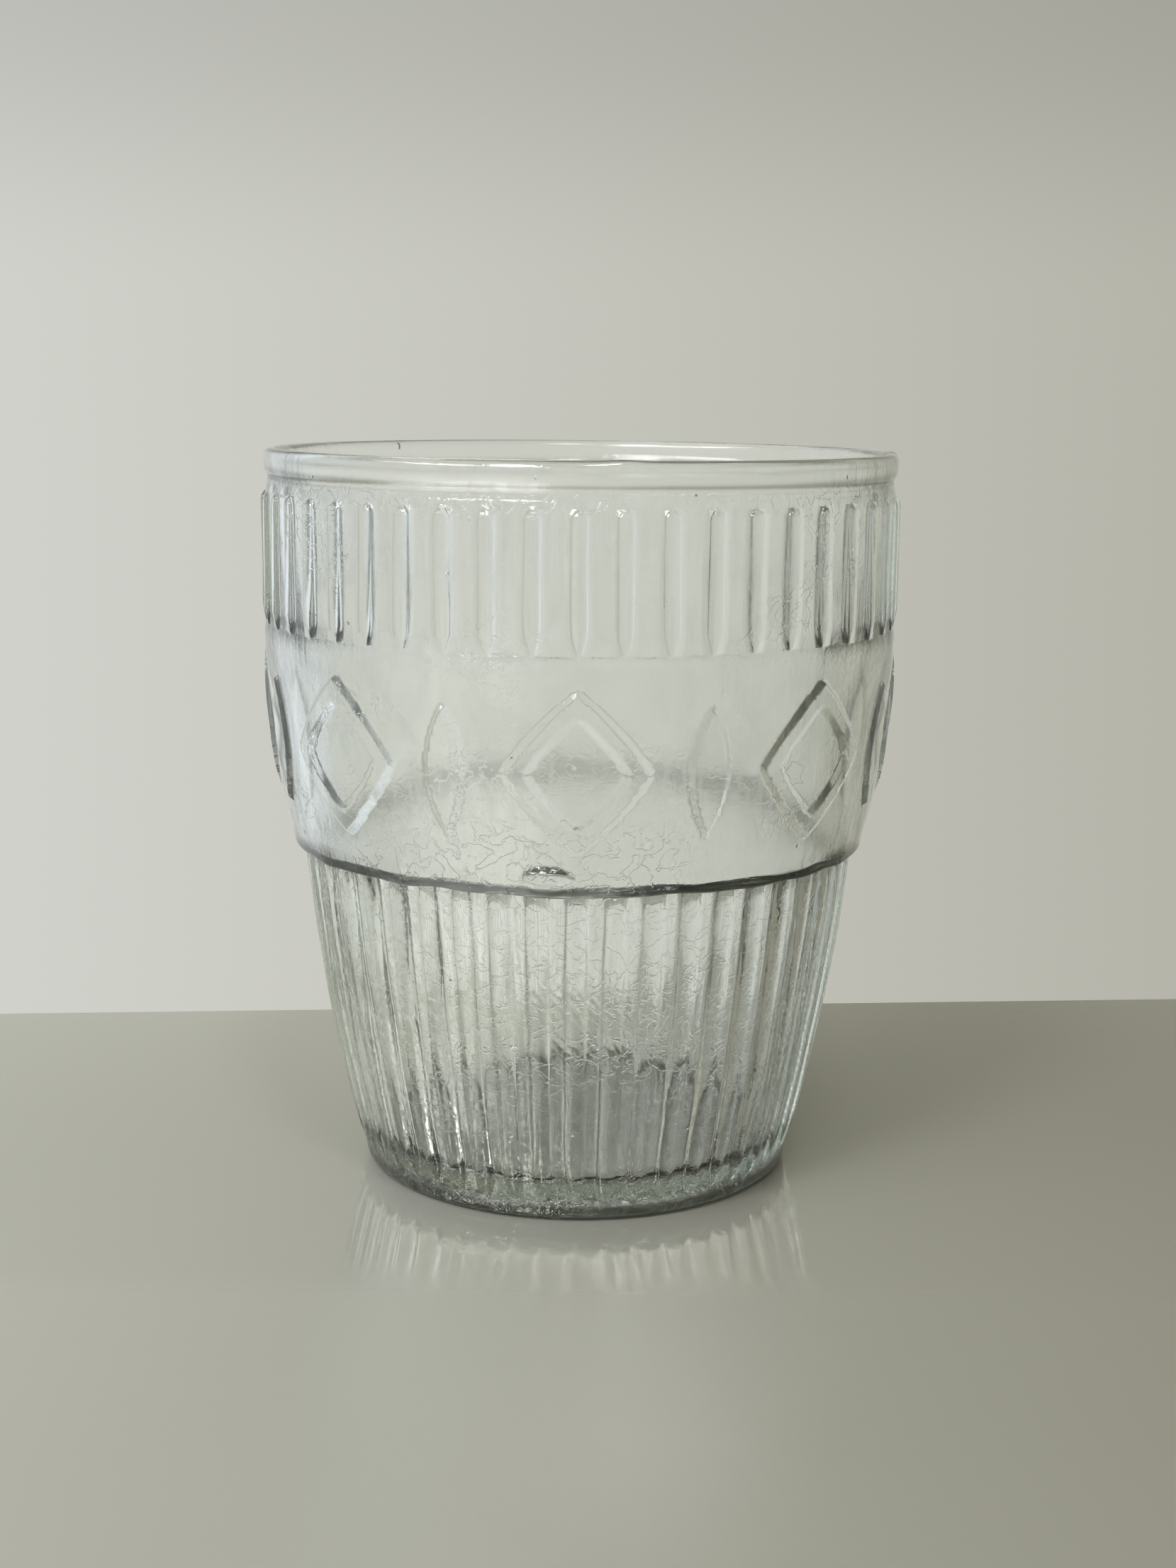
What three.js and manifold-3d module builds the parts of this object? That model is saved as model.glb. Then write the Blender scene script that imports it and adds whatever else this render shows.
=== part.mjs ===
// Mixing glass: a clear pressed-glass vessel with a rounded rim, a band of short raised ribs, a middle
// band with a raised ornament, a ledge, and a long ribbed lower wall on a thick base.
// Millimetres, +Z up, origin at the centre of the plane that the foot rests on.
// The real glass is one moulding. It is built here as its named zones, with a small seam gap between.
import * as THREE from "three";
import { mergeVertices } from "three/addons/utils/BufferGeometryUtils.js";
import Module from "manifold-3d";

const wasm = await Module();
wasm.setup();

// Overall
const HEIGHT = 150;
const SEAM_GAP = 0.3;

// Heights where one zone meets the next, from the foot up
const FOOT_TOP = 1.5;
const HEEL_TOP = 5;
const LEDGE_BOTTOM = 70.8;
const LEDGE_TOP = 76;
const RELIEF_TOP = 113.7;
const RIB_BAND_TOP = 141.5;
const NECK_TOP = 145.3;

// Outer radii
const FOOT_RADIUS = 43.2;
const HEEL_RADIUS = 45.2;
const LOWER_WALL_TOP_RADIUS = 57.5;
const LEDGE_RADIUS = 59.5;
const SHOULDER_RADIUS = 65;
const RIB_BAND_RADIUS = 64.4;
const NECK_RADIUS = 63.9;
const RIM_RADIUS = 64.85;

// Rim and base
const RIM_WIDTH = 4.2;
const RIM_LAND_WIDTH = 1.4;
const FOOT_WIDTH = 5.8;
const FOOT_ROUNDING = 1.3;
const BASE_RADIUS = 40;
const BASE_PUSH_UP = 0.8;
const FLOOR_HEIGHT = 7;
const FLOOR_RADIUS = 36;
const FLOOR_FILLET_RISE = 0.7;
const FILLET_TOP = 9;
const HEEL_WIDEST = 3;
const HEEL_ROUNDING = 0.5;
const SHOULDER_SLOPE = 1.5;
const NECK_SLOPE = 1;

// Ribs
const RIB_COUNT = 48;
const SHORT_RIB_RADIUS = 1.7;
const SHORT_RIB_CREST = 65.7;
const SHORT_RIB_BOTTOM = 115;
const SHORT_RIB_TOP = 141;
const LONG_RIB_HEIGHT = 1;
const LONG_RIB_TOP = 69.5;
const LONG_RIB_FADE = 3;
const LONG_RIB_ROUNDNESS = 0.6;
const COLUMNS_PER_LONG_RIB = 4;

// Raised ornament: upright lozenge frames with a slender leaf between each two
const ORNAMENT_COUNT = 8;
const ORNAMENT_CENTRE_HEIGHT = 93;
const ORNAMENT_RELIEF = 0.8;
const ORNAMENT_ROOT = 0.9;
const LOZENGE_HALF_WIDTH = 14;
const LOZENGE_HALF_HEIGHT = 15.5;
const LOZENGE_STRAP = 0.36;
const LOZENGE_BOW = 0.6;
const LEAF_HALF_WIDTH = 4;
const LEAF_HALF_HEIGHT = 13;

const PLAIN_COLUMNS = 48;

const point = (radius, z) => new THREE.Vector2(radius, z);

// The crests of the long ribs, from the heel to the ledge.
const lowerWall = new THREE.QuadraticBezierCurve(
  point(HEEL_RADIUS, HEEL_WIDEST),
  point(54.5, 36.8),
  point(LOWER_WALL_TOP_RADIUS, LEDGE_BOTTOM),
);

// The outside from the ledge to the shoulder.
const upperWall = new THREE.QuadraticBezierCurve(
  point(LEDGE_RADIUS, LEDGE_BOTTOM),
  point(64.15, 85.7),
  point(SHOULDER_RADIUS, RELIEF_TOP),
);

// The inside that the plunger leaves, always wider towards the mouth.
const innerWall = new THREE.SplineCurve([
  point(41.6, FILLET_TOP),
  point(48.4, 40),
  point(54, 70),
  point(57.6, 92),
  point(60.2, 113),
  point(61.2, NECK_TOP),
]);

// The radius at which a curve that only rises passes a height.
function radiusAt(curve, z) {
  let low = 0;
  let high = 1;
  for (let i = 0; i < 40; i += 1) {
    const middle = (low + high) / 2;
    if (curve.getPoint(middle).y < z) low = middle;
    else high = middle;
  }
  return curve.getPoint(low).x;
}

// Points on a curve at evenly spaced heights.
function stretch(curve, from, to, steps) {
  return Array.from({ length: steps + 1 }, (_, i) => {
    const z = THREE.MathUtils.lerp(from, to, i / steps);
    return point(radiusAt(curve, z), z);
  });
}

// A section spun round +Z. It closes on itself unless it starts and ends on the axis.
function spun(section, columns = PLAIN_COLUMNS) {
  const outline = section[0].x === 0 ? section : [...section, section[0]];
  const geometry = new THREE.LatheGeometry(outline, columns);
  geometry.rotateX(Math.PI / 2);
  return geometry;
}

// A closed geometry as a solid that can be joined to others.
function toSolid(geometry) {
  const bare = geometry.clone();
  bare.deleteAttribute("normal");
  bare.deleteAttribute("uv");
  const merged = mergeVertices(bare, 1e-4);
  return new wasm.Manifold(
    new wasm.Mesh({
      numProp: 3,
      vertProperties: merged.getAttribute("position").array,
      triVerts: merged.getIndex().array,
    }),
  );
}

// A geometry with others moulded onto it as one body.
function moulded(geometry, others) {
  const joined = others.reduce((solid, other) => solid.add(toSolid(other)), toSolid(geometry));
  const mesh = joined.getMesh();
  const result = new THREE.BufferGeometry();
  result.setAttribute("position", new THREE.BufferAttribute(mesh.vertProperties, 3));
  result.setIndex(new THREE.BufferAttribute(mesh.triVerts, 1));
  result.computeVertexNormals();
  return result;
}

// What a maker returns for each of a number of even turns.
function around(count, make) {
  return Array.from({ length: count }, (_, i) => make((i * 2 * Math.PI) / count));
}

function footRing() {
  const top = FOOT_TOP - SEAM_GAP / 2;
  const inside = FOOT_RADIUS - FOOT_WIDTH;
  return spun([
    point(inside, 0),
    point(FOOT_RADIUS, 0),
    point(FOOT_RADIUS + FOOT_ROUNDING, top),
    point(inside - FOOT_ROUNDING / 2, top),
  ]);
}

function baseDisc() {
  const bottom = FOOT_TOP + SEAM_GAP / 2;
  return spun([
    point(0, bottom + BASE_PUSH_UP),
    point(FOOT_RADIUS - FOOT_WIDTH, bottom),
    point(BASE_RADIUS, bottom),
    point(BASE_RADIUS, FLOOR_HEIGHT + FLOOR_FILLET_RISE),
    point(FLOOR_RADIUS, FLOOR_HEIGHT),
    point(0, FLOOR_HEIGHT),
  ]);
}

function heelRing() {
  const bottom = FOOT_TOP + SEAM_GAP / 2;
  const top = HEEL_TOP - SEAM_GAP / 2;
  const inside = BASE_RADIUS + SEAM_GAP;
  return spun([
    point(inside, bottom),
    point(HEEL_RADIUS - HEEL_ROUNDING, bottom),
    ...stretch(lowerWall, HEEL_WIDEST, top, 1),
    point(inside, top),
  ]);
}

// How far a long rib stands out of its valley at a height.
function longRibHeight(z) {
  return LONG_RIB_HEIGHT * (1 - THREE.MathUtils.smoothstep(z, LONG_RIB_TOP - LONG_RIB_FADE, LONG_RIB_TOP));
}

function ribbedWall() {
  const bottom = HEEL_TOP + SEAM_GAP / 2;
  const top = LEDGE_BOTTOM - SEAM_GAP / 2;
  const inside = BASE_RADIUS + SEAM_GAP;
  const geometry = spun(
    [
      ...stretch(lowerWall, bottom, LONG_RIB_TOP - LONG_RIB_FADE, 3),
      ...stretch(lowerWall, LONG_RIB_TOP, top, 1),
      ...stretch(innerWall, top, FILLET_TOP, 2),
      point(inside, FLOOR_HEIGHT + FLOOR_FILLET_RISE + SEAM_GAP),
      point(inside, bottom),
    ],
    RIB_COUNT * COLUMNS_PER_LONG_RIB,
  );
  // Between crests the outside moves in, in a round reed shape with a sharp valley.
  const at = geometry.getAttribute("position");
  for (let i = 0; i < at.count; i += 1) {
    const radius = Math.hypot(at.getX(i), at.getY(i));
    const z = at.getZ(i);
    const isOutside = radius > radiusAt(lowerWall, z) - 0.1;
    if (isOutside) {
      const phase = (Math.atan2(at.getY(i), at.getX(i)) * RIB_COUNT) / 2;
      const reed = Math.abs(Math.cos(phase)) ** LONG_RIB_ROUNDNESS;
      const moved = (radius - LONG_RIB_HEIGHT + longRibHeight(z) * reed) / radius;
      at.setXY(i, at.getX(i) * moved, at.getY(i) * moved);
    }
  }
  return geometry;
}

function ledgeRing() {
  const bottom = LEDGE_BOTTOM + SEAM_GAP / 2;
  const top = LEDGE_TOP - SEAM_GAP / 2;
  return spun([...stretch(upperWall, bottom, top, 1), ...stretch(innerWall, top, bottom, 1)]);
}

// Bends a flat ornament, drawn in X and Y with its depth in Z, onto the outside of the band.
function bentOntoBand(shape, turn) {
  const depth = ORNAMENT_ROOT + ORNAMENT_RELIEF;
  const geometry = new THREE.ExtrudeGeometry(shape, { depth, bevelEnabled: false, curveSegments: 3 });
  const at = geometry.getAttribute("position");
  for (let i = 0; i < at.count; i += 1) {
    const z = ORNAMENT_CENTRE_HEIGHT + at.getY(i);
    const wall = radiusAt(upperWall, z);
    const radius = wall - ORNAMENT_ROOT + at.getZ(i);
    const angle = turn + at.getX(i) / wall;
    at.setXYZ(i, radius * Math.cos(angle), radius * Math.sin(angle), z);
  }
  return geometry;
}

// An upright lozenge with bowed sides.
function lozengeOutline(path, halfWidth, halfHeight) {
  const controlX = LOZENGE_BOW * halfWidth;
  const controlY = LOZENGE_BOW * halfHeight;
  path.moveTo(0, -halfHeight);
  path.quadraticCurveTo(controlX, -controlY, halfWidth, 0);
  path.quadraticCurveTo(controlX, controlY, 0, halfHeight);
  path.quadraticCurveTo(-controlX, controlY, -halfWidth, 0);
  path.quadraticCurveTo(-controlX, -controlY, 0, -halfHeight);
  return path;
}

function lozengeFrame() {
  const shape = lozengeOutline(new THREE.Shape(), LOZENGE_HALF_WIDTH, LOZENGE_HALF_HEIGHT);
  const scale = 1 - LOZENGE_STRAP;
  const hole = lozengeOutline(new THREE.Path(), scale * LOZENGE_HALF_WIDTH, scale * LOZENGE_HALF_HEIGHT);
  shape.holes.push(hole);
  return shape;
}

function leaf() {
  const shape = new THREE.Shape();
  shape.moveTo(0, -LEAF_HALF_HEIGHT);
  shape.quadraticCurveTo(2 * LEAF_HALF_WIDTH, 0, 0, LEAF_HALF_HEIGHT);
  shape.quadraticCurveTo(-2 * LEAF_HALF_WIDTH, 0, 0, -LEAF_HALF_HEIGHT);
  return shape;
}

function reliefBand() {
  const bottom = LEDGE_TOP + SEAM_GAP / 2;
  const top = RELIEF_TOP - SEAM_GAP / 2;
  const wall = spun([...stretch(upperWall, bottom, top, 4), ...stretch(innerWall, top, bottom, 3)]);
  const halfTurn = Math.PI / ORNAMENT_COUNT;
  const lozenges = around(ORNAMENT_COUNT, (turn) => bentOntoBand(lozengeFrame(), turn));
  const leaves = around(ORNAMENT_COUNT, (turn) => bentOntoBand(leaf(), turn + halfTurn));
  return moulded(wall, [...lozenges, ...leaves]);
}

// One short rib: an upright round-ended bar sunk into the wall.
function shortRib(turn) {
  const length = SHORT_RIB_TOP - SHORT_RIB_BOTTOM;
  const geometry = new THREE.CapsuleGeometry(SHORT_RIB_RADIUS, length - 2 * SHORT_RIB_RADIUS, 2, 8);
  geometry.rotateX(Math.PI / 2);
  geometry.translate(SHORT_RIB_CREST - SHORT_RIB_RADIUS, 0, SHORT_RIB_BOTTOM + length / 2);
  geometry.rotateZ(turn);
  return geometry;
}

function ribBand() {
  const bottom = RELIEF_TOP + SEAM_GAP / 2;
  const top = RIB_BAND_TOP - SEAM_GAP / 2;
  const wall = spun([
    point(SHOULDER_RADIUS, bottom),
    point(RIB_BAND_RADIUS, bottom + SHOULDER_SLOPE),
    point(RIB_BAND_RADIUS, top),
    ...stretch(innerWall, top, bottom, 2),
  ]);
  return moulded(wall, around(RIB_COUNT, shortRib));
}

function neckBand() {
  const bottom = RIB_BAND_TOP + SEAM_GAP / 2;
  const top = NECK_TOP - SEAM_GAP / 2;
  return spun([
    point(RIB_BAND_RADIUS, bottom),
    point(NECK_RADIUS, bottom + NECK_SLOPE),
    point(NECK_RADIUS, top),
    ...stretch(innerWall, top, bottom, 1),
  ]);
}

// A rounded bead with a narrow flat land on top and below.
function rimBead() {
  const bottom = NECK_TOP + SEAM_GAP / 2;
  const middle = (bottom + HEIGHT) / 2;
  const quarter = (HEIGHT - bottom) / 4;
  const centre = RIM_RADIUS - RIM_WIDTH / 2;
  const cornerReach = 0.4 * RIM_WIDTH;
  return spun([
    point(centre - RIM_LAND_WIDTH / 2, bottom),
    point(centre + RIM_LAND_WIDTH / 2, bottom),
    point(centre + cornerReach, middle - quarter),
    point(RIM_RADIUS, middle),
    point(centre + cornerReach, middle + quarter),
    point(centre + RIM_LAND_WIDTH / 2, HEIGHT),
    point(centre - RIM_LAND_WIDTH / 2, HEIGHT),
    point(centre - cornerReach, middle + quarter),
    point(RIM_RADIUS - RIM_WIDTH, middle),
    point(centre - cornerReach, middle - quarter),
  ]);
}

function clearGlass() {
  return new THREE.MeshStandardMaterial({
    name: "clear_glass",
    color: 0xdfe6de,
    roughness: 0.05,
    metalness: 0,
    transparent: true,
    opacity: 0.35,
  });
}

const zones = {
  foot_ring: footRing(),
  base_disc: baseDisc(),
  heel_ring: heelRing(),
  ribbed_wall: ribbedWall(),
  ledge_ring: ledgeRing(),
  relief_band: reliefBand(),
  rib_band: ribBand(),
  neck_band: neckBand(),
  rim_bead: rimBead(),
};

const glass = new THREE.Group();
glass.name = "mixing_glass";
for (const [name, geometry] of Object.entries(zones)) {
  const mesh = new THREE.Mesh(geometry, clearGlass());
  mesh.name = name;
  glass.add(mesh);
}

export default glass;
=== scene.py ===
import math

import bmesh
import bpy
from mathutils import Matrix, Vector, noise


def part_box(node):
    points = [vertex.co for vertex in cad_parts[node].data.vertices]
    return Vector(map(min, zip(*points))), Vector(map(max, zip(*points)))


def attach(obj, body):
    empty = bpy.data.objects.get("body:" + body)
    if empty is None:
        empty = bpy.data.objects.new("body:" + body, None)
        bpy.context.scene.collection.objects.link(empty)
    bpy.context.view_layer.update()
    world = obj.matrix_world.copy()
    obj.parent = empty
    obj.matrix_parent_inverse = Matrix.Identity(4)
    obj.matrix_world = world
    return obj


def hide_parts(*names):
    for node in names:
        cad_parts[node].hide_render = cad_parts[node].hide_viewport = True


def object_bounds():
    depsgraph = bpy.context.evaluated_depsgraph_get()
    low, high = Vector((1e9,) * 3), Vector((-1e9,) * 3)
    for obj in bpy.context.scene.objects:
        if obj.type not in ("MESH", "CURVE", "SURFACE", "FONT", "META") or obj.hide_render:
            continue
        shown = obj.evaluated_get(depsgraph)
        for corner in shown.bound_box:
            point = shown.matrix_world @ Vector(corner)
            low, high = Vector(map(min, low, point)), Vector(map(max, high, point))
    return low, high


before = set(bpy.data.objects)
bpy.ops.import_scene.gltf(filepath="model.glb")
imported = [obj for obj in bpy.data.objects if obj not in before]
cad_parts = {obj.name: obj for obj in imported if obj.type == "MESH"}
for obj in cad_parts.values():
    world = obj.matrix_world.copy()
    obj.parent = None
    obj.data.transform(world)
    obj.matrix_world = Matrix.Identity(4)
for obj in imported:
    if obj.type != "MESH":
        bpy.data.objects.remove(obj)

CAD_LOW, CAD_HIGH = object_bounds()
MM = 0.001
TOUCHING = 0.001 * MM


def bottom(node):
    """The lowest height of a zone."""
    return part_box(node)[0].z


def top(node):
    """The greatest height of a zone."""
    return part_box(node)[1].z


def reach(node):
    """How far a zone reaches from the axis."""
    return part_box(node)[1].x


def seam(lower, upper):
    """The height halfway across the gap between two zones."""
    return (top(lower) + bottom(upper)) / 2


# ---- Sizes, from the frame -----------------------------------------------------------------------
HEIGHT = CAD_HIGH.z
HEEL_Z = seam("heel_ring", "ribbed_wall")
LEDGE_Z = seam("ribbed_wall", "ledge_ring")
SHOULDER_Z = seam("relief_band", "rib_band")
RIBS_TOP_Z = seam("rib_band", "neck_band")
NECK_Z = seam("neck_band", "rim_bead")
FOOT_R = reach("foot_ring")
HEEL_R = reach("heel_ring") - 0.4 * MM
WALL_TOP_R = reach("ledge_ring") - 3.5 * MM
LEDGE_R = reach("ledge_ring") - 1.5 * MM
RIB_CREST_R = reach("rib_band")
SHOULDER_R = RIB_CREST_R - 0.85 * MM
BAND_R = RIB_CREST_R - 1.3 * MM
NECK_R = BAND_R - 0.5 * MM
RIM_R = reach("rim_bead") - 0.1 * MM
FLOOR_Z = bottom("foot_ring") + 7 * MM
FLOOR_HALFWAY_R = 20 * MM
UNDERSIDE_RISE = 2.4 * MM

# ---- Detail --------------------------------------------------------------------------------------
RIB_COUNT = 48
PITCH = 2 * math.pi / RIB_COUNT
COLUMNS_PER_RIB = 12
RIB_COLUMNS = 4
OUTSIDE_COLUMNS = RIB_COUNT * COLUMNS_PER_RIB
INSIDE_COLUMNS = OUTSIDE_COLUMNS // 2
COLUMN_STEP = 2 * math.pi / OUTSIDE_COLUMNS

SHORT_RIB_BOTTOM = SHOULDER_Z + 1.2 * MM
SHORT_RIB_TOP = RIBS_TOP_Z - 0.7 * MM
SHORT_RIB_HALF_WIDTH = 1.6 * MM
SHORT_RIB_HEIGHT = 0.85 * MM
SHORT_RIB_SQUARENESS = 0.75
SHORT_RIB_TOP_LENGTH = 1.8 * MM
SHORT_RIB_TAIL_LENGTH = 4.5 * MM
SHORT_RIB_TAIL_POWER = 0.8
LONG_RIB_BOTTOM = HEEL_Z - 0.6 * MM
LONG_RIB_TOP = LEDGE_Z - 0.4 * MM
LONG_RIB_HALF_SHARE = 0.31
LONG_RIB_HEIGHT = 0.9 * MM
LONG_RIB_SQUARENESS = 1
LONG_RIB_TOP_LENGTH = 2.6 * MM
LONG_RIB_START_LENGTH = 8 * MM
RIB_LEAST_WIDTH = 0.3
RIB_WIDTH_CHANGE = 0.12
RIB_WIDTH_RUN = 9 * MM
RIB_HEIGHT_CHANGE = 0.16
RIB_HEIGHT_RUN = 14 * MM
RIB_DRIFT = 0.3 * MM
RIB_DRIFT_RUN = 16 * MM
HEIGHT_SEED = 90
DRIFT_SEED = 40

ORNAMENT_COUNT = 8
ORNAMENT_Z = HEIGHT * 0.62
ORNAMENT_RELIEF = 0.75 * MM
ORNAMENT_SIDE = 0.6 * MM
ORNAMENT_SNAP = 0.4 * MM
LOZENGE_HALF_WIDTH = 14 * MM
LOZENGE_HALF_HEIGHT = 15.5 * MM
LOZENGE_HOLE = 0.64
LOZENGE_POWER = 1.16
LEAF_HALF_WIDTH = 4 * MM
LEAF_HALF_HEIGHT = 13 * MM

RIM_LUMPS = ((math.radians(-83), 0.32 * MM), (math.radians(-2), 0.42 * MM))
RIM_LUMP_WIDTH = 3.2 * MM
GOB_ANGLE = math.radians(-95)
GOB_Z = LEDGE_Z + 2.2 * MM
GOB_HALF_WIDTH = 4.9 * MM
GOB_HALF_HEIGHT = 2.4 * MM
GOB_HEIGHT = 1.9 * MM

LEDGE_WAVE = 0.8 * MM
LEDGE_WAVE_RUN = 11 * MM
GROOVE_WAVE = 0.5 * MM
GROOVE_WAVE_RUN = 7 * MM
BROAD_WAVE = 0.2 * MM
BROAD_WAVE_RUN = 24 * MM
FINE_WAVE = 0.035 * MM
FINE_WAVE_RUN = 7 * MM
FLOOR_WAVE = 0.15 * MM
FLOOR_WAVE_RUN = 11 * MM
INSIDE_WAVE_SHARE = 1.2
OUTSIDE_SEED = 3
INSIDE_SEED = 11
GROOVE_SEED = 9


# ---- Outlines ------------------------------------------------------------------------------------
def bow(start, control, end, steps):
    """Points along a quadratic curve, without its last one."""
    points = []
    for i in range(steps):
        t = i / steps
        points.append(tuple((1 - t) ** 2 * a + 2 * t * (1 - t) * b + t * t * c
                            for a, b, c in zip(start, control, end)))
    return points


def outside_outline():
    """From the middle of the underside, over the foot and up the wall, to the top of the rim."""
    underside = (0, UNDERSIDE_RISE)
    foot_in = (FOOT_R - 7.6 * MM, 1.3 * MM)
    foot_flat_in = (FOOT_R - 6 * MM, 0)
    foot_flat_out = (FOOT_R - 2.6 * MM, 0)
    foot_out = (HEEL_R - 0.2 * MM, 2.5 * MM)
    heel = (HEEL_R, HEEL_Z)
    wall_top = (WALL_TOP_R - LONG_RIB_HEIGHT, LEDGE_Z - 1.6 * MM)
    groove = (WALL_TOP_R - LONG_RIB_HEIGHT - 0.5 * MM, LEDGE_Z + 0.5 * MM)
    lip = (LEDGE_R - 0.6 * MM, LEDGE_Z - 1.5 * MM)
    ledge = (LEDGE_R, LEDGE_Z - 0.4 * MM)
    shoulder = (SHOULDER_R, SHOULDER_Z - 1.6 * MM)
    band = (BAND_R, SHOULDER_Z + 1.3 * MM)
    band_top = (BAND_R, RIBS_TOP_Z - 2.6 * MM)
    neck = (NECK_R, RIBS_TOP_Z + 1.2 * MM)
    neck_top = (NECK_R, NECK_Z - 1.0 * MM)
    bead_out = (RIM_R, (NECK_Z + HEIGHT) / 2)
    bead_top = (RIM_R - 2.1 * MM, HEIGHT - 0.5 * MM)
    return [
        *bow(underside, (FLOOR_HALFWAY_R, UNDERSIDE_RISE), foot_in, steps=4),
        *bow(foot_in, (foot_flat_in[0] - 0.4 * MM, 0), foot_flat_in, steps=3),
        *bow(foot_flat_in, foot_flat_in, foot_flat_out, steps=1),
        *bow(foot_flat_out, (foot_out[0] - 0.1 * MM, 0), foot_out, steps=6),
        *bow(foot_out, (HEEL_R, 3.4 * MM), heel, steps=5),
        *bow(heel, (HEEL_R + 8.1 * MM, HEIGHT * 0.245), wall_top, steps=18),
        *bow(wall_top, (groove[0] - 0.2 * MM, groove[1]), groove, steps=4),
        *bow(groove, (groove[0] + 0.4 * MM, groove[1]), lip, steps=4),
        *bow(lip, (LEDGE_R, LEDGE_Z - 1.6 * MM), ledge, steps=5),
        *bow(ledge, (LEDGE_R + 4.6 * MM, HEIGHT * 0.57), shoulder, steps=64),
        *bow(shoulder, (SHOULDER_R, SHOULDER_Z + 0.2 * MM), band, steps=6),
        *bow(band, (BAND_R, HEIGHT * 0.86), band_top, steps=9),
        *bow(band_top, (BAND_R, RIBS_TOP_Z), neck, steps=8),
        *bow(neck, neck, neck_top, steps=1),
        *bow(neck_top, (RIM_R, NECK_Z), bead_out, steps=5),
        *bow(bead_out, (RIM_R, HEIGHT - 0.5 * MM), bead_top, steps=5),
        bead_top,
    ]


def inside_outline():
    """From just inside the top of the rim, down the wall, to the middle of the floor."""
    rim_in = (RIM_R - 2.9 * MM, HEIGHT - 0.65 * MM)
    bead_in = (RIM_R - 4.1 * MM, (NECK_Z + HEIGHT) / 2)
    mouth = (RIM_R - 3.7 * MM, NECK_Z - 1.5 * MM)
    fillet_top = (HEEL_R - 3.6 * MM, FLOOR_Z + 4 * MM)
    floor_edge = (HEEL_R - 9 * MM, FLOOR_Z)
    floor = (0, FLOOR_Z)
    return [
        *bow(rim_in, (bead_in[0], HEIGHT - 0.9 * MM), bead_in, steps=5),
        *bow(bead_in, (bead_in[0], NECK_Z), mouth, steps=3),
        *bow(mouth, (RIM_R - 4.4 * MM, HEIGHT * 0.66), fillet_top, steps=20),
        *bow(fillet_top, (fillet_top[0] - 0.9 * MM, FLOOR_Z), floor_edge, steps=6),
        *bow(floor_edge, (FLOOR_HALFWAY_R, FLOOR_Z - 0.2 * MM), floor, steps=4),
        floor,
    ]


def spun(outline, columns):
    """A bmesh of an outline spun round the axis."""
    mesh = bmesh.new()
    verts = [mesh.verts.new((radius, 0, z)) for radius, z in outline]
    edges = [mesh.edges.new(pair) for pair in zip(verts, verts[1:])]
    bmesh.ops.spin(mesh, geom=verts + edges, cent=(0, 0, 0), axis=(0, 0, 1), dvec=(0, 0, 0),
                   angle=2 * math.pi, steps=columns, use_merge=True, use_duplicate=False)
    bmesh.ops.remove_doubles(mesh, verts=mesh.verts, dist=TOUCHING)
    return mesh


# ---- Ribs ----------------------------------------------------------------------------------------
def smooth(low, high, value):
    """0 at low and 1 at high, whichever of them is larger, and smooth between."""
    t = min(max((value - low) / (high - low), 0), 1)
    return t * t * (3 - 2 * t)


def wander(seed, place, scale):
    """A smooth random value from about -1 to 1 that changes slowly with place."""
    return noise.noise(Vector((seed * 7.31, place / scale, 0.5)))


def rounded_end(z, end, length):
    """1 inside a rib, falling to 0 at its end in a round arc. length is negative at a top end."""
    t = min(max((z - end) / length, 0), 1)
    return math.sqrt(1 - (1 - t) ** 2)


def short_rib(z):
    """Share of full width and of full height of a short rib at a height."""
    rise = rounded_end(z, SHORT_RIB_TOP, -SHORT_RIB_TOP_LENGTH)
    taper = rounded_end(z, SHORT_RIB_BOTTOM, SHORT_RIB_TAIL_LENGTH)
    return rise * taper ** SHORT_RIB_TAIL_POWER, rise * taper


def long_rib(z):
    """The same for a long rib, whose width and height change together."""
    rise = rounded_end(z, LONG_RIB_TOP, -LONG_RIB_TOP_LENGTH)
    start = rounded_end(z, LONG_RIB_BOTTOM, LONG_RIB_START_LENGTH)
    return rise * start, rise * start


def ribbed(radius, angle, z, half_width, height, squareness, shares):
    """Moves a column towards the rib that it belongs to, and out onto the rib's round back.

    A squareness below 1 makes the back of the rib flatter and its sides steeper.
    """
    width_share, height_share = shares(z)
    nearest = round(angle / PITCH)
    offset = angle - nearest * PITCH
    column = abs(offset) / COLUMN_STEP
    rib = nearest % RIB_COUNT
    half_width *= 1 + RIB_WIDTH_CHANGE * wander(rib, z, RIB_WIDTH_RUN)
    height *= 1 + RIB_HEIGHT_CHANGE * wander(rib + HEIGHT_SEED, z, RIB_HEIGHT_RUN)
    half_pitch = PITCH / 2 * radius
    if column <= RIB_COLUMNS:
        lean = math.pi / 2 * column / RIB_COLUMNS
        across = half_width * math.sin(lean) ** squareness * max(width_share, RIB_LEAST_WIDTH)
        lift = height * max(math.cos(lean), 0) ** squareness * height_share
    else:
        share = (column - RIB_COLUMNS) / (COLUMNS_PER_RIB / 2 - RIB_COLUMNS)
        edge = half_width * max(width_share, RIB_LEAST_WIDTH)
        across = edge + (half_pitch - edge) * share
        lift = 0
    drift = RIB_DRIFT * wander(rib + DRIFT_SEED, z, RIB_DRIFT_RUN) * (1 - across / half_pitch)
    moved = math.copysign(across, offset) + drift
    return nearest * PITCH + moved / radius, lift


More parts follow.
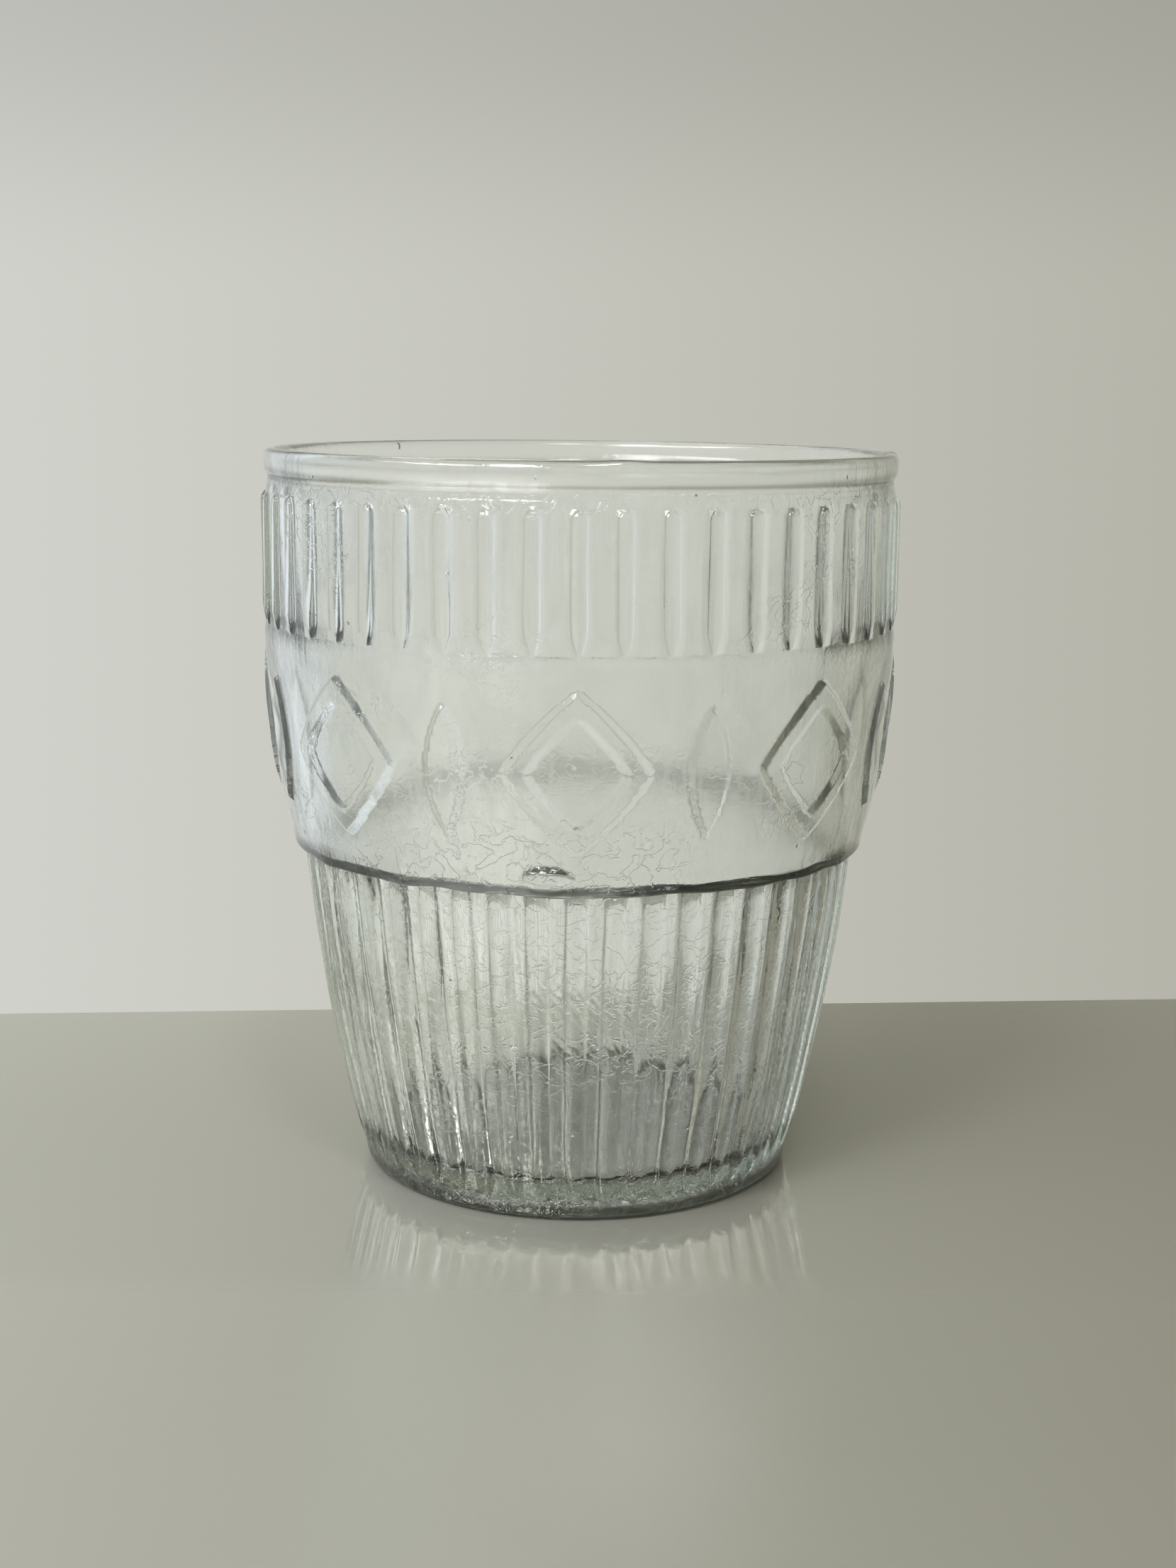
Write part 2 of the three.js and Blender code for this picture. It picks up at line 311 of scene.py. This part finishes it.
# ---- Ornament ------------------------------------------------------------------------------------
def lozenge_edge(across, up):
    """Distance outside a lozenge frame (negative within its strap), and the way out of it."""
    a = abs(across) / LOZENGE_HALF_WIDTH
    b = abs(up) / LOZENGE_HALF_HEIGHT
    size = (a ** LOZENGE_POWER + b ** LOZENGE_POWER) ** (1 / LOZENGE_POWER)
    if size < 1e-3:
        return 1, (1, 0)
    bend = LOZENGE_POWER - 1
    slope = Vector((math.copysign((a / size) ** bend / LOZENGE_HALF_WIDTH, across),
                    math.copysign((b / size) ** bend / LOZENGE_HALF_HEIGHT, up)))
    outer = (size - 1) / slope.length
    inner = (LOZENGE_HOLE - size) / slope.length
    outward = slope.normalized()
    return (outer, outward) if outer > inner else (inner, -outward)


def leaf_edge(across, up):
    """The same for a slender upright leaf."""
    edge = LEAF_HALF_WIDTH * (1 - (up / LEAF_HALF_HEIGHT) ** 2)
    slope = 2 * LEAF_HALF_WIDTH * up / LEAF_HALF_HEIGHT ** 2
    outward = Vector((math.copysign(1, across), slope)).normalized()
    return (abs(across) - edge) / math.sqrt(1 + slope * slope), outward


def ornamented(radius, angle, z):
    """Moves a point onto the nearest edge line of the ornament, and out onto its raised face."""
    step = math.pi / ORNAMENT_COUNT
    nearest = round(angle / step)
    across = (angle - nearest * step) * radius
    up = z - ORNAMENT_Z
    shapes = (lozenge_edge, leaf_edge) if nearest % 2 == 0 else (leaf_edge, lozenge_edge)
    distance, outward = shapes[0](across, up)
    other = math.copysign(step * radius, across)
    beside, beside_outward = shapes[1](across - other, up)
    if beside < distance:
        distance, outward = beside, beside_outward
    foot_gap = -distance
    face_gap = -ORNAMENT_SIDE - distance
    gap = foot_gap if abs(foot_gap) < abs(face_gap) else face_gap
    if abs(gap) < ORNAMENT_SNAP:
        across += gap * outward[0]
        up += gap * outward[1]
        distance += gap
    lift = ORNAMENT_RELIEF * smooth(0, ORNAMENT_SIDE, -distance)
    return nearest * step + across / radius, ORNAMENT_Z + up, lift


# ---- The skin ------------------------------------------------------------------------------------
def unevenness(place, seed):
    """How far hand-finished glass strays from its true outline."""
    broad = noise.noise(place / BROAD_WAVE_RUN + Vector((seed, 0, 0)))
    fine = noise.noise(place / FINE_WAVE_RUN + Vector((0, seed, 0)))
    return BROAD_WAVE * broad + FINE_WAVE * fine


def gob_mark(radius, angle, z):
    """The small raised lens that the gob of molten glass left above the ledge."""
    across = (angle - GOB_ANGLE) * radius / GOB_HALF_WIDTH
    up = (z - GOB_Z) / GOB_HALF_HEIGHT
    return GOB_HEIGHT * math.sqrt(max(1 - across * across - up * up, 0))


def ledge_wave(place):
    """How far the pressed edge of the ledge strays up or down."""
    near = smooth(6 * MM, 1.5 * MM, abs(place.z - LEDGE_Z))
    around = Vector((place.x, place.y, 0))
    wave = LEDGE_WAVE * noise.noise(around / LEDGE_WAVE_RUN)
    in_groove = smooth(LEDGE_R - 0.8 * MM, LEDGE_R - 1.8 * MM, place.xy.length)
    in_groove *= smooth(LEDGE_Z - 1.5 * MM, LEDGE_Z, place.z)
    groove_noise = noise.noise(around / GROOVE_WAVE_RUN + Vector((0, 0, GROOVE_SEED)))
    return near * wave + in_groove * GROOVE_WAVE * groove_noise


def shape_outside(mesh):
    """Presses the ribs, the ornament and the unevenness into the outside."""
    underside_edge = FOOT_R - 8 * MM
    groove_edge = WALL_TOP_R - LONG_RIB_HEIGHT + 0.02 * MM
    wall_start = LONG_RIB_BOTTOM - 3 * MM
    wall_end = LEDGE_Z - 1.7 * MM
    ornament_start = LEDGE_Z - 0.6 * MM
    ornament_end = SHOULDER_Z - 1.5 * MM
    rib_band_start = SHOULDER_Z - 0.8 * MM
    for vert in mesh.verts:
        radius = math.hypot(vert.co.x, vert.co.y)
        if radius < underside_edge:
            continue
        angle = math.atan2(vert.co.y, vert.co.x)
        z = vert.co.z
        lift = 0
        behind_lip = radius < groove_edge and z < LEDGE_Z
        if wall_start < z and (z < wall_end or behind_lip):
            half_width = LONG_RIB_HALF_SHARE * PITCH * radius
            angle, lift = ribbed(radius, angle, z, half_width, LONG_RIB_HEIGHT,
                                 LONG_RIB_SQUARENESS, long_rib)
        elif ornament_start < z < ornament_end:
            angle, z, lift = ornamented(radius, angle, z)
            lift = max(lift, gob_mark(radius, angle, z))
        elif rib_band_start < z < RIBS_TOP_Z:
            angle, lift = ribbed(radius, angle, z, SHORT_RIB_HALF_WIDTH, SHORT_RIB_HEIGHT,
                                 SHORT_RIB_SQUARENESS, short_rib)
        place = Vector((radius * math.cos(angle), radius * math.sin(angle), z))
        steady = smooth(0, 4 * MM, z) * (1 - 0.5 * smooth(NECK_Z, HEIGHT, z))
        radius = min(radius + lift + steady * unevenness(place, OUTSIDE_SEED), RIB_CREST_R)
        z += ledge_wave(place)
        vert.co = (radius * math.cos(angle), radius * math.sin(angle), z)


def shape_inside(mesh):
    """Gives the inside the slight unevenness that a plunger leaves."""
    for vert in mesh.verts:
        radius = math.hypot(vert.co.x, vert.co.y)
        if radius < 1 * MM:
            continue
        share = 1 + INSIDE_WAVE_SHARE * unevenness(vert.co, INSIDE_SEED) / radius
        steady = smooth(HEIGHT, NECK_Z - 8 * MM, vert.co.z)
        grown = 1 + (share - 1) * steady
        rise = FLOOR_WAVE * noise.noise(vert.co / FLOOR_WAVE_RUN) * steady
        vert.co = (vert.co.x * grown, vert.co.y * grown, vert.co.z + rise)


def lump_rim(mesh):
    """Small lumps where the rim was fire-finished."""
    for vert in mesh.verts:
        share = smooth(NECK_Z, HEIGHT, vert.co.z)
        for angle, height in RIM_LUMPS:
            at = Vector((RIM_R * math.cos(angle), RIM_R * math.sin(angle)))
            away = (vert.co.xy - at).length / RIM_LUMP_WIDTH
            vert.co.z += share * height * math.exp(-away * away)


def mark_side(mesh, value):
    """Tells the finish which side of the wall a point is on: 0 outside, 1 inside."""
    layer = mesh.verts.layers.float.new("inside")
    for vert in mesh.verts:
        vert[layer] = value


def make_glass():
    """The outside and the inside as one closed skin, joined over the rim."""
    outside = spun(outside_outline(), OUTSIDE_COLUMNS)
    shape_outside(outside)
    inside = spun(inside_outline(), INSIDE_COLUMNS)
    shape_inside(inside)
    mark_side(outside, 0)
    mark_side(inside, 1)
    part = bpy.data.meshes.new("inside_part")
    inside.to_mesh(part)
    inside.free()
    outside.from_mesh(part)
    bpy.data.meshes.remove(part)
    open_edges = [edge for edge in outside.edges if edge.is_boundary]
    bmesh.ops.bridge_loops(outside, edges=open_edges)
    lump_rim(outside)
    bmesh.ops.recalc_face_normals(outside, faces=outside.faces)
    bmesh.ops.triangulate(outside, faces=outside.faces, quad_method="SHORT_EDGE")
    for face in outside.faces:
        face.smooth = True
    data = bpy.data.meshes.new("glass_vessel")
    outside.to_mesh(data)
    outside.free()
    vessel = bpy.data.objects.new("glass_vessel", data)
    bpy.context.scene.collection.objects.link(vessel)
    return vessel


# ---- Shader maths --------------------------------------------------------------------------------
class Value:
    """An output socket that takes part in plain arithmetic."""

    def __init__(self, graph, socket):
        self.graph = graph
        self.socket = socket

    def _math(self, operation, first, second):
        return self.graph.node("ShaderNodeMath", {"operation": operation}, {0: first, 1: second})[0]

    def __add__(self, other):
        return self._math("ADD", self, other)

    def __radd__(self, other):
        return self._math("ADD", other, self)

    def __sub__(self, other):
        return self._math("SUBTRACT", self, other)

    def __rsub__(self, other):
        return self._math("SUBTRACT", other, self)

    def __mul__(self, other):
        return self._math("MULTIPLY", self, other)

    def __rmul__(self, other):
        return self._math("MULTIPLY", other, self)

    def __abs__(self):
        return self._math("ABSOLUTE", self, 0)

    def __gt__(self, other):
        return self._math("GREATER_THAN", self, other)

    def __lt__(self, other):
        return self._math("LESS_THAN", self, other)


class Outputs:
    """The output sockets of one node, by name or number."""

    def __init__(self, graph, made):
        self.graph = graph
        self.made = made

    def __getitem__(self, key):
        return Value(self.graph, self.made.outputs[key])


class Graph:
    """A node tree that is built by calls."""

    def __init__(self, owner):
        owner.use_nodes = True
        self.tree = owner.node_tree
        self.tree.nodes.clear()

    def node(self, kind, settings=None, inputs=None):
        """A new node: its settings first, then a value or a link for each input."""
        made = self.tree.nodes.new(kind)
        for name, value in (settings or {}).items():
            setattr(made, name, value)
        for key, value in (inputs or {}).items():
            if isinstance(value, Value):
                self.tree.links.new(value.socket, made.inputs[key])
            else:
                made.inputs[key].default_value = value
        return Outputs(self, made)

    def ease(self, value, low, high):
        """0 below low, 1 above high, and smooth between."""
        settings = {"interpolation_type": "SMOOTHSTEP"}
        sockets = {"Value": value, "From Min": low, "From Max": high}
        return self.node("ShaderNodeMapRange", settings, sockets)["Result"]

    def blend(self, share, first, second):
        """The first colour where share is 0, and the second where it is 1."""
        settings = {"data_type": "RGBA"}
        return self.node("ShaderNodeMix", settings, {0: share, 6: first, 7: second})[2]


# ---- Materials -----------------------------------------------------------------------------------
# Relief of the glass in millimetres, by what leaves it there.
SWELL_RELIEF = 0.26
PEBBLE_RELIEF = 0.016
PEEL_RELIEF = 0.012
LEDGE_PEEL_RELIEF = 0.11
EDGE_PEEL_RELIEF = 0.09
HEEL_PEEL_RELIEF = 0.22
CREASE_RELIEF = 0.008
LOW_CREASE_RELIEF = 0.022
LEDGE_CREASE_RELIEF = 0.135
RIB_TOP_CREASE_RELIEF = 0.06
MARK_CREASE_RELIEF = 0.06
HEEL_CREASE_RELIEF = 0.12
RIPPLE_RELIEF = 0.02
SCRATCH_RELIEF = 0.03
INSIDE_SCRATCH_RELIEF = 0.012
SEED_RELIEF = 0.22

# The shares of the small cells of glass that hold no seed or no dark speck.
SEED_SHARE_WITHOUT = 0.8
SPECK_SHARE_WITHOUT = 0.93

GLASS_COLOUR = (0.995, 1.0, 0.995, 1)
SPECK_COLOUR = (0.08, 0.07, 0.06, 1)
# Painted contact shade for the foot ring, near black.
FOOT_SHADE_COLOUR = (0.02, 0.024, 0.012, 1)
# Painted shade for the band under the ledge, and how strongly it is laid on.
GROOVE_SHADE_COLOUR = (0.10, 0.11, 0.075, 1)
GROOVE_SHADE_STRENGTH = 0.85
THICK_GLASS_COLOUR = (0.55, 0.68, 0.52, 1)
THICK_GLASS_DENSITY = 9.0
GLASS_IOR = 1.52
GLASS_ROUGHNESS = 0.015
CHILLED_ROUGHNESS = 0.05
INSIDE_HAZE = 0.17
LOW_HAZE_LOSS = 0.09
SCRATCH_HAZE = 0.05


def clear_glass():
    """Clear pressed glass: wavy and creased outside, slightly hazy inside, with painted shade on
    its foot ring and under its ledge.
    """
    material = bpy.data.materials.new("clear_pressed_glass")
    graph = Graph(material)
    place = graph.node("ShaderNodeTexCoord")["Object"]
    axes = graph.node("ShaderNodeSeparateXYZ", None, {0: place})
    height = axes["Z"]
    radius_squared = axes["X"] * axes["X"] + axes["Y"] * axes["Y"]

    def speckle(scale, detail=2.0, distortion=0.0):
        sockets = {"Vector": place, "Scale": scale, "Detail": detail, "Distortion": distortion}
        return graph.node("ShaderNodeTexNoise", None, sockets)[0]

    inside = graph.node("ShaderNodeAttribute", {"attribute_name": "inside"})["Fac"]
    outside = 1 - inside
    low_down = graph.ease(height, LEDGE_Z + 4 * MM, LEDGE_Z - 4 * MM)
    swell = speckle(70, 1.0)
    pebble = speckle(420, 1.0)
    patch = graph.ease(speckle(24, 1.0), 0.48, 0.62)
    over_ledge = graph.ease(abs(height - (LEDGE_Z + 5 * MM)), 11 * MM, 4 * MM)
    orange_peel = speckle(700, 2.0)
    by_shoulder = graph.ease(abs(height - SHOULDER_Z), 4 * MM, 1 * MM)
    by_rib_tops = graph.ease(abs(height - RIBS_TOP_Z), 3 * MM, 1 * MM)
    edges = by_shoulder + by_rib_tops
    under_neck = graph.ease(height, RIBS_TOP_Z + 1 * MM, RIBS_TOP_Z - 3 * MM)
    marks = graph.ease(speckle(55, 3.0), 0.55, 0.63) * graph.ease(height, LEDGE_Z, SHOULDER_Z)
    marks = marks * under_neck
    creases = graph.ease(abs(speckle(300, 3.0, 0.6) - 0.5), 0.035, 0.0)
    ripple_sockets = {"Vector": place, "Scale": 300, "Distortion": 7.0, "Detail": 2.0,
                      "Detail Scale": 0.35}
    ripple_settings = {"wave_type": "BANDS", "bands_direction": "DIAGONAL"}
    ripple = graph.node("ShaderNodeTexWave", ripple_settings, ripple_sockets)["Fac"]
    chilled = graph.ease(speckle(38, 2.0), 0.5, 0.66)
    seeds = graph.node("ShaderNodeTexVoronoi", {"feature": "F1"}, {"Vector": place, "Scale": 260})
    seed_pick = graph.node("ShaderNodeSeparateColor", None, {0: seeds["Color"]})[0]
    seed = graph.ease(seeds["Distance"], 0.12, 0.02) * (seed_pick > SEED_SHARE_WITHOUT)
    heel_crush = graph.ease(height, 11 * MM, 4 * MM)
    stretched = {"Vector": place, "Scale": (1, 1, 0.06)}
    streak_place = graph.node("ShaderNodeMapping", None, stretched)[0]
    streak_sockets = {"Vector": streak_place, "Scale": 500, "Detail": 2.0}
    streaks = graph.node("ShaderNodeTexNoise", None, streak_sockets)[0]
    scratches = graph.ease(streaks, 0.5, 0.66)
    relief = (
        SWELL_RELIEF * swell
        + PEBBLE_RELIEF * pebble
        + PEEL_RELIEF * orange_peel
        + outside * (LEDGE_PEEL_RELIEF * patch * over_ledge * orange_peel
                     + (CREASE_RELIEF
                        + LOW_CREASE_RELIEF * low_down
                        + LEDGE_CREASE_RELIEF * patch * over_ledge
                        + RIB_TOP_CREASE_RELIEF * by_rib_tops
                        + MARK_CREASE_RELIEF * marks
                        + HEEL_CREASE_RELIEF * heel_crush) * creases
                     + EDGE_PEEL_RELIEF * edges * orange_peel
                     + RIPPLE_RELIEF * chilled * low_down * ripple
                     + HEEL_PEEL_RELIEF * heel_crush * orange_peel
                     + SCRATCH_RELIEF * low_down * scratches
                     + SEED_RELIEF * seed)
        + inside * INSIDE_SCRATCH_RELIEF * scratches
    )
    bump_sockets = {"Height": relief, "Strength": 1.0, "Distance": 1 * MM}
    bump = graph.node("ShaderNodeBump", None, bump_sockets)["Normal"]
    specks = graph.node("ShaderNodeTexVoronoi", {"feature": "F1"}, {"Vector": place, "Scale": 150})
    speck_pick = graph.node("ShaderNodeSeparateColor", None, {0: specks["Color"]})[1]
    speck = graph.ease(specks["Distance"], 0.05, 0.03) * (speck_pick > SPECK_SHARE_WITHOUT)
    colour = graph.blend(speck, GLASS_COLOUR, SPECK_COLOUR)
    # Painted contact shade: the outside of the foot ring, near its outer edge and below 4.6 mm, is
    # darkened almost to black. This stands in for the shadow where the foot meets the shelf.
    ring_only = graph.ease(radius_squared, (FOOT_R - 5 * MM) ** 2, (FOOT_R - 2.5 * MM) ** 2)
    painted_foot_shade = graph.ease(height, 4.6 * MM, 2.8 * MM) * ring_only * outside
    colour = graph.blend(painted_foot_shade * (0.88 + 0.15 * pebble), colour, FOOT_SHADE_COLOUR)
    # Painted shade: a band of the outside just under the ledge is darkened. This stands in for the
    # dark line that the ledge's undercut shows.
    in_groove = graph.ease(abs(height - (LEDGE_Z - 0.6 * MM)), 1.3 * MM, 0.6 * MM) * outside
    colour = graph.blend(in_groove * GROOVE_SHADE_STRENGTH, colour, GROOVE_SHADE_COLOUR)
    haze = inside * (INSIDE_HAZE - LOW_HAZE_LOSS * low_down + SCRATCH_HAZE * scratches)
    roughness = GLASS_ROUGHNESS + CHILLED_ROUGHNESS * outside * chilled * low_down + haze
    glass = graph.node("ShaderNodeBsdfPrincipled", None, {
        "Base Color": colour,
        "Roughness": roughness,
        "Normal": bump,
        "IOR": GLASS_IOR,
        "Transmission Weight": 1.0,
    })["BSDF"]
    tint_sockets = {"Color": THICK_GLASS_COLOUR, "Density": THICK_GLASS_DENSITY}
    tint = graph.node("ShaderNodeVolumeAbsorption", None, tint_sockets)["Volume"]
    graph.node("ShaderNodeOutputMaterial", None, {"Surface": glass, "Volume": tint})
    return material


# Shelf colours with painted light and shade: the left ones lighter and the right ones darker, as if
# lit from the left. The worn ones are darker patches.
SHELF_LIT_LEFT = (0.58, 0.58, 0.515, 1)
SHELF_SHADED_RIGHT = (0.32, 0.305, 0.25, 1)
WORN_LIT_LEFT = (0.54, 0.54, 0.48, 1)
WORN_SHADED_RIGHT = (0.29, 0.275, 0.225, 1)
SHELF_POLISH = 0.035
SHELF_MATT = 0.3
SHELF_METALLIC = 0.5
SHELF_IOR = 1.6


def shelf_finish():
    """A pale shelf with painted light and shade, lighter to the left and darker to the right,
    polished by the foot of the glass and matt in front.
    """
    material = bpy.data.materials.new("pale_shelf")
    graph = Graph(material)
    place = graph.node("ShaderNodeTexCoord")["Object"]
    cloud_sockets = {"Vector": place, "Scale": 5.0, "Detail": 3.0}
    cloud = graph.node("ShaderNodeTexNoise", None, cloud_sockets)[0]
    axes = graph.node("ShaderNodeSeparateXYZ", None, {0: place})
    to_right = graph.ease(axes["X"], -0.2, 0.2)
    in_front = graph.ease(axes["Y"], -0.060, -0.085)
    # Painted light and shade: the shelf's colour goes from lighter on the left to darker on the
    # right.
    pale = graph.blend(to_right, SHELF_LIT_LEFT, SHELF_SHADED_RIGHT)
    worn = graph.blend(to_right, WORN_LIT_LEFT, WORN_SHADED_RIGHT)
    colour = graph.blend(cloud, pale, worn)
    surface = graph.node("ShaderNodeBsdfPrincipled", None, {
        "Base Color": colour,
        "Roughness": SHELF_POLISH + SHELF_MATT * in_front,
        "Metallic": SHELF_METALLIC,
        "IOR": SHELF_IOR,
    })["BSDF"]
    graph.node("ShaderNodeOutputMaterial", None, {"Surface": surface})
    return material


# ---- Stage ---------------------------------------------------------------------------------------
SHELF_BACK = 0.105
SHELF_REACH = 2.0
SHELF_GAP = 0.03 * MM
SHELF_TURN = math.radians(4.6)


def make_shelf():
    """A plain shelf whose far edge is just behind the glass, turned a little from the camera."""
    mesh = bmesh.new()
    bmesh.ops.create_grid(mesh, x_segments=1, y_segments=1, size=SHELF_REACH)
    bmesh.ops.translate(mesh, verts=mesh.verts, vec=(0, SHELF_BACK - SHELF_REACH, -SHELF_GAP))
    bmesh.ops.rotate(mesh, verts=mesh.verts, cent=(0, SHELF_BACK, 0),
                     matrix=Matrix.Rotation(SHELF_TURN, 3, "Z"))
    data = bpy.data.meshes.new("shelf")
    mesh.to_mesh(data)
    mesh.free()
    shelf = bpy.data.objects.new("shelf", data)
    bpy.context.scene.collection.objects.link(shelf)
    data.materials.append(shelf_finish())


WALL_LEFT = (0.73, 0.74, 0.70, 1)
WALL_RIGHT = (0.37, 0.36, 0.295, 1)
SEEN_WALL_RIGHT = (0.47, 0.465, 0.39, 1)
WINDOW_SIDE = (0.90, 0.96, 1.02, 1)
DARK_SIDE = (0.50, 0.505, 0.42, 1)
OVERHEAD = (0.31, 0.315, 0.26, 1)
BACK_LEFT = (1.15, 1.18, 1.2, 1)
BACK_RIGHT = (0.55, 0.56, 0.48, 1)
CEILING = (0.17, 0.175, 0.14, 1)
PANE = (13.0, 13.5, 14.0, 1)
BLACK = (0, 0, 0, 1)


def make_world():
    """A pale wall, lighter to the left, and the room that the glass mirrors and refracts.

    The room has a bright side, a darker side, a ceiling and a window with one glazing bar. Light
    that reaches the shelf comes from the even wall, so the shelf keeps an even colour. Directions
    are of length 1, with X to the right, Y away from the viewer and Z up.
    """
    world = bpy.data.worlds.new("room")
    bpy.context.scene.world = world
    graph = Graph(world)
    way = graph.node("ShaderNodeTexCoord")["Generated"]
    axes = graph.node("ShaderNodeSeparateXYZ", None, {0: way})
    to_right = graph.ease(axes["X"], -0.8, 0.8)
    wall = graph.blend(to_right, WALL_LEFT, WALL_RIGHT)
    high_up = graph.ease(axes["Z"], 0.03, 0.17)
    shown_wall = graph.blend(high_up * 0.2, wall, BLACK)
    window_side = graph.ease(axes["X"], -0.35, -0.8)
    seen_wall = graph.blend(to_right, WALL_LEFT, SEEN_WALL_RIGHT)
    room = graph.blend(window_side, seen_wall, WINDOW_SIDE)
    dark_side = graph.ease(axes["X"], 0.55, 0.85)
    room = graph.blend(dark_side, room, DARK_SIDE)
    overhead = graph.ease(axes["Z"], 0.15, 0.35)
    room = graph.blend(overhead * (1 - 0.8 * window_side), room, OVERHEAD)
    behind = graph.ease(axes["Y"], 0.1, -0.4)
    back_wall = graph.blend(to_right, BACK_LEFT, BACK_RIGHT)
    room = graph.blend(behind, room, back_wall)
    ceiling = graph.ease(axes["Z"], 0.48, 0.62)
    room = graph.blend(ceiling, room, CEILING)
    pane_height = graph.ease(axes["Z"], 0.44, 0.47) * graph.ease(axes["Z"], 0.68, 0.65)
    pane_width = graph.ease(axes["X"], -0.20, -0.24) * graph.ease(axes["X"], -0.80, -0.76)
    bar = graph.ease(abs(axes["X"] + 0.50), 0.015, 0.03)
    window = pane_height * pane_width * bar * (axes["Y"] < 0.0)
    room = graph.blend(window, room, PANE)
    path = graph.node("ShaderNodeLightPath")
    on_shelf = path["Diffuse Depth"] > 0.5
    room = graph.blend(on_shelf, room, wall)
    colour = graph.blend(path["Is Camera Ray"], room, shown_wall)
    light = graph.node("ShaderNodeBackground", None, {"Color": colour, "Strength": 1.0})[0]
    graph.node("ShaderNodeOutputWorld", None, {"Surface": light})


SOFTBOX_COLOUR = (0.97, 0.99, 1.0)


def softbox(name, place, width, height, power):
    """A large soft light that faces the glass."""
    data = bpy.data.lights.new(name, "AREA")
    data.shape = "RECTANGLE"
    data.size = width
    data.size_y = height
    data.energy = power
    data.color = SOFTBOX_COLOUR
    light = bpy.data.objects.new(name, data)
    aim = Vector((0, 0, HEIGHT / 2)) - Vector(place)
    turn = aim.to_track_quat("-Z", "Y").to_matrix().to_4x4()
    light.matrix_world = Matrix.Translation(place) @ turn
    bpy.context.scene.collection.objects.link(light)


CAMERA_LENS = 49.9
CAMERA_SIDEWAYS = 0.0132
CAMERA_AWAY = 3.003
CAMERA_UP = 1.093
LOOK_DOWN = 10.6
CAMERA_ROLL = 0.6


def make_camera():
    """A little above the rim, looking slightly down. Its distances are in heights of the glass."""
    data = bpy.data.cameras.new("camera")
    data.lens = CAMERA_LENS
    data.sensor_width = 36
    camera = bpy.data.objects.new("camera", data)
    sideways = CAMERA_SIDEWAYS * HEIGHT
    away = CAMERA_AWAY * HEIGHT
    above = CAMERA_UP * HEIGHT
    tilt = math.radians(90 - LOOK_DOWN)
    roll = math.radians(CAMERA_ROLL)
    turn = Matrix.Rotation(tilt, 4, "X") @ Matrix.Rotation(roll, 4, "Z")
    camera.matrix_world = Matrix.Translation((sideways, -away, above)) @ turn
    bpy.context.scene.collection.objects.link(camera)
    bpy.context.scene.camera = camera


# ---- Build ---------------------------------------------------------------------------------------
vessel = make_glass()
vessel.data.materials.append(clear_glass())
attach(vessel, "root")
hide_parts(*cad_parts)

make_shelf()
make_world()
softbox("window", (-0.55, -0.95, 1.35), 0.32, 0.42, 12.0)
softbox("skylight", (0.12, -0.75, 1.45), 0.2, 0.2, 5.0)
make_camera()
bpy.context.scene.view_settings.view_transform = "Standard"
